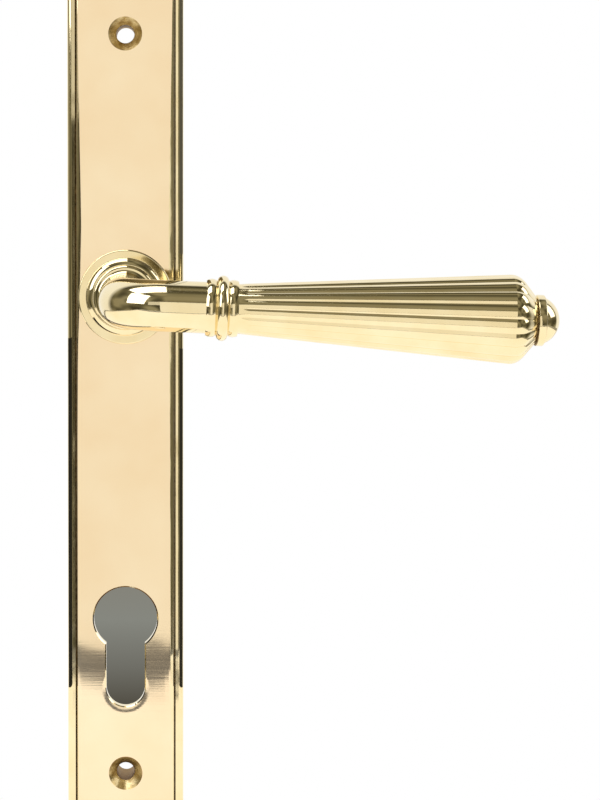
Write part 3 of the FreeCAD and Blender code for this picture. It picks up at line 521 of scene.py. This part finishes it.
def lockCutter():
    # the outline of a profile cylinder, drawn as a closed line, filled, and pushed through the plate
    half = plate["lockSlot"]
    foot = plate["lockFoot"] + half
    lip = plate["lockLip"]
    wide, tall = half + lip, plate["lockRound"] + lip
    shoulder = plate["lock"] - math.sqrt(tall ** 2 - wide ** 2)
    opening = 2 * math.pi - 2 * math.asin(wide / tall)
    front = -(plate["face"] + plate["skin"]) * mm
    tool = startAtPoint("lockCutter", (-wide * mm, front, shoulder * mm))
    bpy.ops.mesh.spin(steps=56, angle=-opening, center=(0, front, plate["lock"] * mm), axis=(0, 1, 0))
    drawTo((0, 0, shoulder * mm), (0, 0, foot * mm))
    bpy.ops.mesh.spin(steps=28, angle=-math.pi, center=(0, front, foot * mm), axis=(0, 1, 0))
    selectAll()
    mergeClose()
    bpy.ops.mesh.edge_face_add()
    bpy.ops.mesh.normals_make_consistent(inside=False)
    objectMode()
    if tool.data.polygons[0].normal.y < 0:
        editMode()
        selectAll()
        bpy.ops.mesh.flip_normals()
        objectMode()
    editMode()
    selectAll()
    pullOut(0, plate["skin"] * mm, 0)
    insetFace(lip, lip)
    pullOut(0, throughDepth * mm, 0)
    closeAndFace(tool)
    return tool


def faceCone(z, wide, narrow, deep, sides):
    # a cone whose wide end stands a little before the plate's face
    clearSelection()
    middle = plate["face"] + plate["over"] - deep / 2
    bpy.ops.mesh.primitive_cone_add(vertices=sides, radius1=wide * mm, radius2=narrow * mm, depth=deep * mm,
                                    location=(0, -middle * mm, z * mm), rotation=(-math.pi / 2, 0, 0))
    tool = bpy.context.object
    bakePlace(tool)
    return tool


def nudgeRoll(flat, z, side, more):
    # moves the inner lines of the rolled edge inward, at one height and on one side
    first = flatEdge - plate["rolled"][0][0]
    last = flatEdge - sum(run for run, rise in plate["rolled"])
    bpy.ops.mesh.select_mode(type="VERT")
    bpy.ops.mesh.select_all(action="DESELECT")
    objectMode()
    for corner in flat.data.vertices:
        x = corner.co.x / mm * side
        corner.select = abs(corner.co.z / mm - z) < slack and last - slack < x < first + slack
    editMode()
    bpy.ops.transform.translate(value=(-side * more * mm, 0, 0))


def makeRaisedFlat():
    # the raised flat stands in the groove; its long edges are rolled off by the polishing
    flat = block("raisedFlat", (-flatEdge, -flatFoot, plate["foot"] + flatInset),
                 (flatEdge, -plate["flatBack"], plate["top"] - flatInset))
    selectFaces(flat, frontFace(flatFoot))
    for run, rise in plate["rolled"]:
        insetFace(run, rise)
    for z, left, right in plate["rollWidths"]:
        selectAll()
        bpy.ops.mesh.bisect(plane_co=(0, 0, z * mm), plane_no=(0, 0, 1))
    for z, left, right in plate["rollWidths"]:
        nudgeRoll(flat, z, -1, left)
        nudgeRoll(flat, z, 1, right)
    objectMode()
    roundEdges(flat, lambda a, b: alongDepth(a, b) or atDepth(flatFoot)(a, b), plate["faceRound"], 5)
    return flat


def hollowBack(piece):
    # the hollow back with its screw pillars, cassette posts and two ribs
    wall, root = plate["wall"], plate["ceiling"] + plate["root"]
    hollow = block("hollow", (wall - plateHalf, -plate["ceiling"], plate["foot"] + wall),
                   (plateHalf - wall, 2, plate["top"] - wall))
    roundEdges(hollow, alongDepth, plate["hollowCorner"], 4)
    roundEdges(hollow, atDepth(plate["ceiling"]), plate["hollowFillet"], 3)
    cutWith(piece, hollow)
    for z in plate["screws"]:
        cutWith(piece, rod("pillar", 0, z, plate["pillar"], 0, root), "UNION")
    for x, z in plate["posts"]:
        cutWith(piece, rod("post", x, z, plate["post"], plate["postBack"], root, 40), "UNION")
    reach = plateHalf - plate["ribIn"]
    for z in plate["ribs"]:
        cutWith(piece, block("rib", (-reach, -root, z), (reach, -plate["ribBack"], z + plate["rib"])), "UNION")


def drillPlate(piece):
    cutWith(piece, rod("ringHole", 0, 0, plate["ringHole"], plate["ringBack"], throughDepth, 96))
    # the edge under the lock's slot is burnished down, as a shallow cone
    slope = plate["burnishSlope"]
    deep = plate["burnishWide"] * slope + plate["over"]
    cutWith(piece, faceCone(plate["burnish"], deep / slope, 0, deep, 96))
    cutWith(piece, lockCutter())
    wide, narrow = plate["sink"] + plate["over"], plate["screwHole"] - plate["past"]
    for z in plate["screws"]:
        cutWith(piece, rod("screwHole", 0, z, plate["screwHole"], -1, throughDepth))
        cutWith(piece, faceCone(z, wide, narrow, wide - narrow, 64))
    for x, z in plate["posts"]:
        cutWith(piece, rod("tap", x, z, plate["tap"], 0, plate["tapDeep"], 24))


def plateFinish(face):
    # which of the plate's five finishes a face has, told by its place and its direction
    x, depth, z = abs(face.center.x) / mm, -face.center.y / mm, face.center.z / mm
    facing = face.normal.y
    foot, top, wall = plate["foot"], plate["top"], plate["wall"]
    grooveSide = flatEdge + plate["groove"] + slack
    grooveEnd = plateHalf - grooveSide
    grooveFloor = plate["border"] - plate["grooveDepth"] - 5 * slack
    offScrew = min(math.hypot(x, z - screw) for screw in plate["screws"])
    if offScrew < plate["sink"] and -0.95 < facing < 0.5 and depth > plate["ceiling"] - plate["boreSeen"]:
        return 3
    besideFlat = flatEdge - slack < x < grooveSide or not foot + flatInset < z < top - flatInset
    inGroove = besideFlat and x < grooveSide and foot + grooveEnd < z < top - grooveEnd
    # the groove's walls take the dull brown of painted shade
    if grooveFloor < depth < plate["border"] and facing > -0.9 and inGroove:
        return 4
    if facing < -0.995 and depth > flatFoot + 0.1 * slack:
        return 1
    rim = wall - plate["castRim"]
    inHollow = x < plateHalf - rim and foot + rim < z < top - rim
    if depth < plate["ceiling"] + 5 * slack and (facing > 0.5 or inHollow):
        return 2
    return 0


def makeBackplate():
    piece = block("backplateCasting", (-plateHalf, -plate["border"], plate["foot"]),
                  (plateHalf, 0, plate["top"]))
    roundEdges(piece, alongDepth, plate["corner"], 12)
    roundEdges(piece, atDepth(plate["border"]), plate["edgeRound"], 12)
    selectFaces(piece, lambda face: frontFace(plate["border"])(face) and face.area > 1e-3)
    insetFace(plate["ledge"], plate["crown"])
    insetFace(plate["groove"] - plate["overlap"], -plate["grooveDepth"] - plate["crown"])
    objectMode()
    cutWith(piece, makeRaisedFlat(), "UNION")
    hollowBack(piece)
    drillPlate(piece)
    closeAndFace(piece)
    dress(piece, "polished", "linished", "cast", "drilled", "cornerShade")
    for face in piece.data.polygons:
        face.material_index = plateFinish(face)
    smooth(piece, 32)
    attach(piece, "plate")
    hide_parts("backplate")
    print("backplate:", len(piece.data.polygons), "faces")


makeBackplate()

# rose ring on the plate

rose = {
    "outer": 13.4, "rise": 1.5, "edge": 0.45, "hollow": 0.12,
    "tier": 10.9, "fall": 1.1, "top": 17.9, "dome": 0.194,
    "bush": 9.0, "tail": 10.0, "slip": 0.02,            # bores and fits; slip keeps faces just apart
    "sunk": 0.1, "heel": 0.25, "heelRise": 0.08, "heelEnd": 0.2, "heelBulge": 0.35,
    "cove": 0.3, "browDown": 0.12, "browIn": 0.08, "browUp": 0.1, "browBulge": 0.2,
    "lip": 0.1, "lipBulge": 0.3,
}


def makeRoseRing():
    outer, tier, slip, lip = rose["outer"], rose["tier"], rose["slip"], rose["lip"]
    foot = plate["face"]
    first = foot + rose["rise"]
    shelf = first - rose["hollow"]
    bore, tail = rose["bush"] + slip, rose["tail"] - slip
    rim = rose["top"] - rose["fall"]
    piece = turnPiece("roseRing", [
        (bore, plate["ceiling"]),
        (tail, plate["ceiling"]),
        (tail, foot - rose["sunk"]),
        (outer - rose["heel"], foot - rose["sunk"]),
        (outer - slip, foot + rose["heelRise"], -rose["heelBulge"], 3),
        (outer, foot + rose["heelEnd"]),
        (outer, first - rose["edge"]),
        (outer - rose["edge"], first, -quarterBulge, 8),
        (tier + rose["cove"], shelf),
        (tier, shelf + rose["cove"], quarterBulge, 5),
        (tier, rim - rose["browDown"]),
        (tier - rose["browIn"], rim + rose["browUp"], -rose["browBulge"], 3),
        (bore + lip, rose["top"] - slip, -rose["dome"], 20),
        (bore, rose["top"] - lip, -rose["lipBulge"], 3),
        (bore, plate["ceiling"]),
    ], "spindle")
    dress(piece, "polished")
    smooth(piece, 50)
    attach(piece, "plate")
    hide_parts("rose_ring")
    print("rose ring:", len(piece.data.polygons), "faces")


makeRoseRing()

# lever: neck and elbow

arm = {
    "depth": 54.0, "droop": 2.2,                        # the arm's axis, and degrees below level at rest
    "journal": 8.0, "back": 9.9,
    "beadFoot": 18.0, "beadTop": 19.8, "bead": 9.1, "beadBulge": 0.98,      # almost a half round
    "shelf": 8.1, "shelfRise": 0.02, "cove": 1.25,
    "neck": 6.85, "bend": 12.0, "end": 22.15,
}


def settleDroop(piece):
    # the lever rests a little below level, turned about the spindle
    pickOnly(piece)
    editMode()
    selectAll()
    bpy.ops.transform.rotate(value=-math.radians(arm["droop"]), orient_axis="Y", center_override=(0, 0, 0))
    objectMode()


def makeNeck():
    half = (arm["beadTop"] - arm["beadFoot"]) / 2
    elbow = arm["depth"] - arm["bend"]
    profile = profileFrom([
        (arm["journal"], arm["back"]),
        (arm["journal"], arm["beadFoot"]),
        (arm["bead"] - half, arm["beadFoot"]),
        (arm["bead"] - half, arm["beadTop"], -arm["beadBulge"], 18),
        (arm["shelf"], arm["beadTop"] + arm["shelfRise"]),
        (arm["neck"], arm["beadTop"] + arm["cove"], quarterBulge, 12),
        (arm["neck"], elbow),
    ])
    # the bar starts as a disc, drawn out ring by ring, then bent by spinning its last ring
    clearSelection()
    bpy.ops.mesh.primitive_circle_add(vertices=160, radius=profile[0][0] * mm, fill_type="NGON",
                                      location=(0, -profile[0][1] * mm, 0), rotation=(math.pi / 2, 0, 0))
    piece = bpy.context.object
    piece.name = "leverNeck"
    piece.data.name = "leverNeck"
    bakePlace(piece)
    editMode()
    selectAll()
    for (oldRadius, oldDepth), (radius, depth) in zip(profile, profile[1:]):
        pullOut(0, -(depth - oldDepth) * mm, 0)
        if abs(radius - oldRadius) > 1e-6:
            grow = radius / oldRadius
            bpy.ops.transform.resize(value=(grow, grow, grow), center_override=(0, -depth * mm, 0))
    bpy.ops.mesh.spin(steps=40, angle=-math.pi / 2, center=(arm["bend"] * mm, -elbow * mm, 0),
                      axis=(0, 0, 1))
    pullOut((arm["end"] - arm["bend"]) * mm, 0, 0)
    closeAndFace(piece)
    settleDroop(piece)
    dress(piece, "polished")
    smooth(piece, 50)
    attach(piece, "lever")
    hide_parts("lever_neck")
    print("lever neck:", len(piece.data.polygons), "faces")


makeNeck()

# collar of three beads; each is a length and a crest's radius

collar = {"start": 22.1, "beads": ((2.8, 7.75), (3.2, 8.7), (2.5, 7.6)), "valley": 7.3, "bore": 4.52}


def makeCollar():
    place = collar["start"]
    corners = [(place, collar["bore"]), (place, collar["valley"])]
    for length, crest in collar["beads"]:
        place += length
        corners.append((place, collar["valley"], 2 * (crest - collar["valley"]) / length, 20))
    corners += [(place, collar["bore"]), (collar["start"], collar["bore"])]
    piece = turnPiece("collarRing", corners, "arm")
    settleDroop(piece)
    dress(piece, "polished")
    smooth(piece, 40)
    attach(piece, "lever")
    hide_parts("collar_ring")
    print("collar:", len(piece.data.polygons), "faces")


makeCollar()

# reeded grip

grip = {
    "start": 30.6, "cuff": 2.6, "shoulder": 102.7, "end": 108.9,
    "thin": 6.6, "thick": 11.85, "endRadius": 6.85,
    "round": 4.6, "slope": 46,              # the shoulder's rounding, and degrees that it turns in
    "reeds": 18, "reedSize": 0.42,          # a reed's radius over that of the ring of their centres
    "turned": 3.5,                          # degrees that a reed stands off the top
    "perReed": 16, "lengthSteps": 8, "shoulderSteps": 12, "endSteps": 3, "cuffCuts": 5,
}


def gripStations(first, radius, slope):
    # distances along the arm with the grip's radius at each, from the cuff to the end
    stations = [(first, radius)]
    for part in range(1, grip["lengthSteps"] + 1):
        along = first + (grip["shoulder"] - first) * part / grip["lengthSteps"]
        stations.append((along, grip["thin"] + slope * (along - grip["start"])))
    for part in range(1, grip["shoulderSteps"] + 1):
        turn = math.radians(grip["slope"]) * part / grip["shoulderSteps"]
        stations.append((grip["shoulder"] + grip["round"] * math.sin(turn),
                         grip["thick"] - grip["round"] * (1 - math.cos(turn))))
    lastAlong, lastWide = stations[-1]
    for part in range(1, grip["endSteps"] + 1):
        stations.append((lastAlong + (grip["end"] - lastAlong) * part / grip["endSteps"],
                         lastWide + (grip["endRadius"] - lastWide) * part / grip["endSteps"]))
    return stations


def makeGrip():
    # one reed is an arc; it is spun round the arm to make the whole scalloped ring
    hub = 1 / (1 + grip["reedSize"])
    small = hub * grip["reedSize"]
    halfTurn = math.pi / grip["reeds"]
    valley = hub * math.cos(halfTurn) + math.sqrt(small ** 2 - (hub * math.sin(halfTurn)) ** 2)
    axisY = -arm["depth"] * mm
    slope = (grip["thick"] - grip["thin"]) / (grip["shoulder"] - grip["start"])
    first = grip["start"] + grip["cuff"]
    radius = grip["thin"] + slope * grip["cuff"]

    def onReed(share, turn):
        out = share * radius * mm
        return (first * mm, axisY + out * math.sin(turn), out * math.cos(turn))

    turned = math.radians(grip["turned"])
    reach = 2 * math.atan2(valley * math.sin(halfTurn), valley * math.cos(halfTurn) - hub)
    piece = startAtPoint("reededGrip", onReed(valley, turned - halfTurn))
    bpy.ops.mesh.spin(steps=grip["perReed"], angle=reach, center=onReed(hub, turned), axis=(1, 0, 0))
    selectAll()
    bpy.ops.mesh.spin(steps=grip["reeds"] - 1, dupli=True, angle=2 * math.pi - 2 * halfTurn,
                      center=(first * mm, axisY, 0), axis=(1, 0, 0))
    selectAll()
    mergeClose(0.01)

    # the ring is drawn out to the shoulder and over it, each step scaled about the arm's axis
    stations = gripStations(first, radius, slope)
    selectAll()
    for (oldAlong, oldRadius), (along, wide) in zip(stations, stations[1:]):
        grow = wide / oldRadius
        pullOut((along - oldAlong) * mm, 0, 0)
        bpy.ops.transform.resize(value=(1, grow, grow), center_override=(along * mm, axisY, 0))
    bpy.ops.mesh.edge_face_add()
    objectMode()

    # the plain cuff: a round ring with as many points, bridged to the first scalloped ring
    clearSelection()
    bpy.ops.mesh.primitive_circle_add(vertices=grip["reeds"] * grip["perReed"], radius=grip["thin"] * mm,
                                      fill_type="NOTHING", location=(grip["start"] * mm, axisY, 0),
                                      rotation=(0, math.pi / 2, 0))
    cuff = bpy.context.object
    bakePlace(cuff)
    pickOnly(piece)
    cuff.select_set(True)
    bpy.ops.object.join()
    ring, rear = first * mm + 0.1 * hair, grip["start"] * mm + 0.1 * hair
    selectEdges(piece, lambda a, b: a.x < ring and b.x < ring and abs(a.x - b.x) < 0.1 * hair)
    bpy.ops.mesh.bridge_edge_loops(number_cuts=grip["cuffCuts"], interpolation="LINEAR")
    objectMode()
    selectEdges(piece, lambda a, b: a.x < rear and b.x < rear)
    bpy.ops.mesh.edge_face_add()
    closeAndFace(piece)
    settleDroop(piece)
    dress(piece, "polished")
    smooth(piece, 35)
    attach(piece, "lever")
    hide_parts("reeded_grip")
    print("grip:", len(piece.data.polygons), "faces")


makeGrip()

# finial on the lever's end

finial = {
    "start": 108.9, "gap": 109.4, "neck": 5.8, "wide": 6.8, "wideRound": 0.3,
    "rim": 111.6, "rimRound": 0.35, "dome": 6.15, "tip": 115.8,
}


def makeFinial():
    gap, wide, rim = finial["gap"], finial["wide"], finial["rim"]
    domeBulge = math.tan(math.atan((finial["tip"] - rim) / finial["dome"]) / 2)
    piece = turnPiece("endFinial", [
        (finial["start"], 0.0),
        (finial["start"], finial["neck"]),
        (gap, finial["neck"]),
        (gap, wide - finial["wideRound"]),
        (gap + finial["wideRound"], wide, quarterBulge, 5),
        (rim - finial["rimRound"], wide),
        (rim, wide - finial["rimRound"], quarterBulge, 6),
        (rim, finial["dome"]),
        (finial["tip"], 0.0, domeBulge, 24),
    ], "arm")
    settleDroop(piece)
    dress(piece, "polished", "cornerShade")
    # the finial's neck, in the gap after the grip, takes the dull brown of painted shade
    for face in piece.data.polygons:
        if face.center.x < (gap + slack) * mm:
            face.material_index = 1
    smooth(piece, 40)
    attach(piece, "lever")
    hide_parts("end_finial")
    print("finial:", len(piece.data.polygons), "faces")


makeFinial()

# nodes that keep their own shape

nodeFinish = {
    "neck_bush": "acetal", "cover_plate": "zinc", "cover_screws": "zinc", "spindle": "zinc",
    "thrust_washer": "plain", "drive_cam": "plain", "stop_pins": "plain", "spring_anchor_pin": "plain",
    "tie_rod": "plain", "locating_pin": "plain", "grub_screw": "spring",
    "return_spring": "spring", "retaining_circlip": "spring", "spring_washer": "spring",
}
for name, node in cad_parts.items():
    if name in nodeFinish:
        dress(node, nodeFinish[name])
print("carried-over nodes finished:", len(nodeFinish))

# studio; lengths are in metres

studio = {
    "floorDrop": -1.4, "floorSize": 8, "paper": "f4f3f0",
    # a dim room with soft shapes lies in front, and white paper behind, from one direction to the other
    "backFrom": 0.3, "backTo": 0.46,
    "shapes": 2.4, "dark": (0.06, 0.054, 0.033, 1), "dim": (0.136, 0.125, 0.08, 1),
    "light": (0.3, 0.275, 0.19, 1),
    # painted shadow: a grey gradient, darkest at its foot, that only the camera sees through the lock's
    # opening, in place of the shade that the plate casts behind it
    "shadowSpotAt": (-0.0183, 0.977, -0.212), "shadowSpotSize": (0.026, 0.045), "shadowSpotFoot": -0.032, "shadowSpotTop": 0.03,
    "shadowTones": ((0.0, "453f33"), (0.35, "6f6e66"), (0.7, "86877f"), (1.0, "858379")),
}


def finishCard(card, name, strength, tone):
    # a card glows for what mirrors it and isn't seen itself
    made = newMaterial(name + "Glow")
    glow = add(made, "ShaderNodeEmission", values=[("Color", colour(tone)), ("Strength", strength)])
    add(made, "ShaderNodeOutputMaterial", [("Surface", glow, "Emission")])
    card.name = name
    card.data.materials.append(made)
    card.visible_camera = False
    card.visible_shadow = False


def sheet(name, low, high, strength, tone="ffffff"):
    # a flat card between two corners, one of whose three spans is nil
    middle = [(a + b) / 2 for a, b in zip(low, high)]
    spans = [b - a for a, b in zip(low, high)]
    flat = spans.index(min(spans))
    turned = ((0, math.pi / 2, 0), (math.pi / 2, 0, 0), (0, 0, 0))[flat]
    size = ((spans[2], spans[1], 1), (spans[0], spans[2], 1), (spans[0], spans[1], 1))[flat]
    clearSelection()
    bpy.ops.mesh.primitive_plane_add(size=1, location=middle, rotation=turned)
    card = bpy.context.object
    card.scale = size
    finishCard(card, name, strength, tone)


def softBox(name, centre, size, aim, strength, tone="ffffff"):
    # a glowing card that faces a point
    clearSelection()
    bpy.ops.mesh.primitive_plane_add(size=1, location=centre)
    card = bpy.context.object
    card.scale = (size[0], size[1], 1)
    card.rotation_euler = (Vector(aim) - Vector(centre)).to_track_quat("-Z", "Y").to_euler()
    finishCard(card, name, strength, tone)


def makeAir():
    # the camera sees white all round, and only through the lock's opening a painted shadow, a grey gradient
    # darker at its foot
    world = bpy.data.worlds.new("studioAir")
    world.use_nodes = True
    world.node_tree.nodes.clear()
    way = add(world, "ShaderNodeTexCoord")
    parts = add(world, "ShaderNodeSeparateXYZ", [("Vector", way, "Generated")])
    back = add(world, "ShaderNodeMapRange", [("Value", parts, "Y")],
               [("From Min", studio["backFrom"]), ("From Max", studio["backTo"])])
    rays = add(world, "ShaderNodeLightPath")
    pale = add(world, "ShaderNodeMath", [(0, back, "Result"), (1, rays, "Is Camera Ray")],
               operation="MAXIMUM")
    shapes = add(world, "ShaderNodeTexNoise", [("Vector", way, "Generated")],
                 [("Scale", studio["shapes"]), ("Detail", 0.5)])
    room = add(world, "ShaderNodeValToRGB", [("Fac", shapes, "Fac")],
               stops=[(0.34, studio["dark"]), (0.5, studio["dim"]), (0.66, studio["light"])])
    tone = add(world, "ShaderNodeMix", [(0, pale, "Value"), (6, room, "Color")], [(7, colour("ffffff"))],
               data_type="RGBA")
    air = add(world, "ShaderNodeBackground", [("Color", tone, 2)])

    # painted shadow: a grey patch behind the lock's opening, darker towards its foot, shown to camera rays
    # only
    middle, wide, tall = studio["shadowSpotAt"], *studio["shadowSpotSize"]
    spot = add(world, "ShaderNodeMapping", [("Vector", way, "Generated")],
               [("Location", (-middle[0] / wide, 0, -middle[2] / tall)), ("Scale", (1 / wide, 0, 1 / tall))])
    far = add(world, "ShaderNodeVectorMath", [(0, spot, "Vector")], operation="LENGTH")
    shadowMask = add(world, "ShaderNodeMapRange", [("Value", far, "Value")],
               [("From Min", 1.0), ("From Max", 0.85)])
    onlySeen = add(world, "ShaderNodeMath", [(0, shadowMask, "Result"), (1, rays, "Is Camera Ray")],
                   operation="MULTIPLY")
    rise = add(world, "ShaderNodeMapRange", [("Value", parts, "Z")],
               [("From Min", middle[2] + studio["shadowSpotFoot"]), ("From Max", middle[2] + studio["shadowSpotTop"])])
    grey = add(world, "ShaderNodeValToRGB", [("Fac", rise, "Result")],
               stops=[(place, colour(code)) for place, code in studio["shadowTones"]])
    through = add(world, "ShaderNodeBackground", [("Color", grey, "Color")])
    both = add(world, "ShaderNodeMixShader",
               [("Fac", onlySeen, "Value"), (1, air, "Background"), (2, through, "Background")])
    add(world, "ShaderNodeOutputWorld", [("Surface", both, "Shader")])
    bpy.context.scene.world = world


def makeFloor():
    clearSelection()
    bpy.ops.mesh.primitive_plane_add(size=studio["floorSize"], location=(0, 0, studio["floorDrop"]))
    floor = bpy.context.object
    floor.name = "paleFloor"
    made = newMaterial("palePaper")
    paper = add(made, "ShaderNodeBsdfDiffuse",
                values=[("Color", colour(studio["paper"])), ("Roughness", 0.6)])
    add(made, "ShaderNodeOutputMaterial", [("Surface", paper, "BSDF")])
    floor.data.materials.append(made)


cards = {
    # light table below the handle; a dim strip along its near edge is painted shade, standing in for the
    # table's edge in shadow, seen only in reflections
    "lightTable": {"low": (-0.6, -0.54, -0.236), "high": (0.6, 0.5, -0.236), "strength": 1.18,
                   "tone": "fffaf2"},
    "tableEdgeShade": {"low": (-0.6, -0.542, -0.236), "high": (0.6, -0.542, -0.218), "strength": 0.2},
    # pale wall round the camera, and a dimmer one on its upper left
    "cameraWall": {"low": (-0.16, -0.78, -0.75), "high": (0.18, -0.78, 0.29), "strength": 0.98,
                   "tone": "fffaee"},
    "upperWall": {"low": (-0.45, -0.78, 0.08), "high": (-0.16, -0.78, 0.29), "strength": 0.7,
                  "tone": "fffaee"},
    # soft boxes: overhead, upper left, and far right
    "topBox": {"low": (-0.5, -0.3, 0.6), "high": (0.015, 0.03, 0.6), "strength": 3.0},
    "leftBox": {"centre": (-0.72, -0.55, 0.46), "size": (0.6, 0.7), "aim": (0, -0.05, 0), "strength": 2.5},
    "rightBox": {"centre": (0.853, -0.087, 0.42), "size": (0.45, 0.6), "aim": (0.1, -0.05, 0),
                 "strength": 2.2},
    # dark flags close beside the plate give its rounded border a dark line
    "leftFlag": {"low": (-0.018, -0.0195, -0.1125), "high": (-0.018, -0.0112, -0.012), "strength": 0.02},
    "rightFlag": {"low": (0.018, -0.0175, -0.1125), "high": (0.018, -0.0112, -0.015), "strength": 0.03},
    "upperRightFlag": {"low": (0.018, -0.0175, 0.012), "high": (0.018, -0.0112, 0.095), "strength": 0.1},
}

makeAir()
makeFloor()
for name, card in cards.items():
    if "aim" in card:
        softBox(name, **card)
    else:
        sheet(name, **card)
print("studio cards:", len(cards))

# camera

view = {
    "place": (0.0112, -0.612, 0.0303), "tilt": 2.0, "lens": 94.9, "sensor": 36,
    "shiftX": 0.169, "shiftY": -0.1705, "near": 0.01, "far": 50,
}
clearSelection()
bpy.ops.object.camera_add(location=view["place"], rotation=(math.radians(90 - view["tilt"]), 0, 0))
camera = bpy.context.object
camera.name = "photoCamera"
camera.data.lens = view["lens"]
camera.data.sensor_width = view["sensor"]
camera.data.shift_x = view["shiftX"]
camera.data.shift_y = view["shiftY"]
camera.data.clip_start = view["near"]
camera.data.clip_end = view["far"]
bpy.context.scene.camera = camera
bpy.context.scene.view_settings.view_transform = "Standard"
print("camera and lights set")
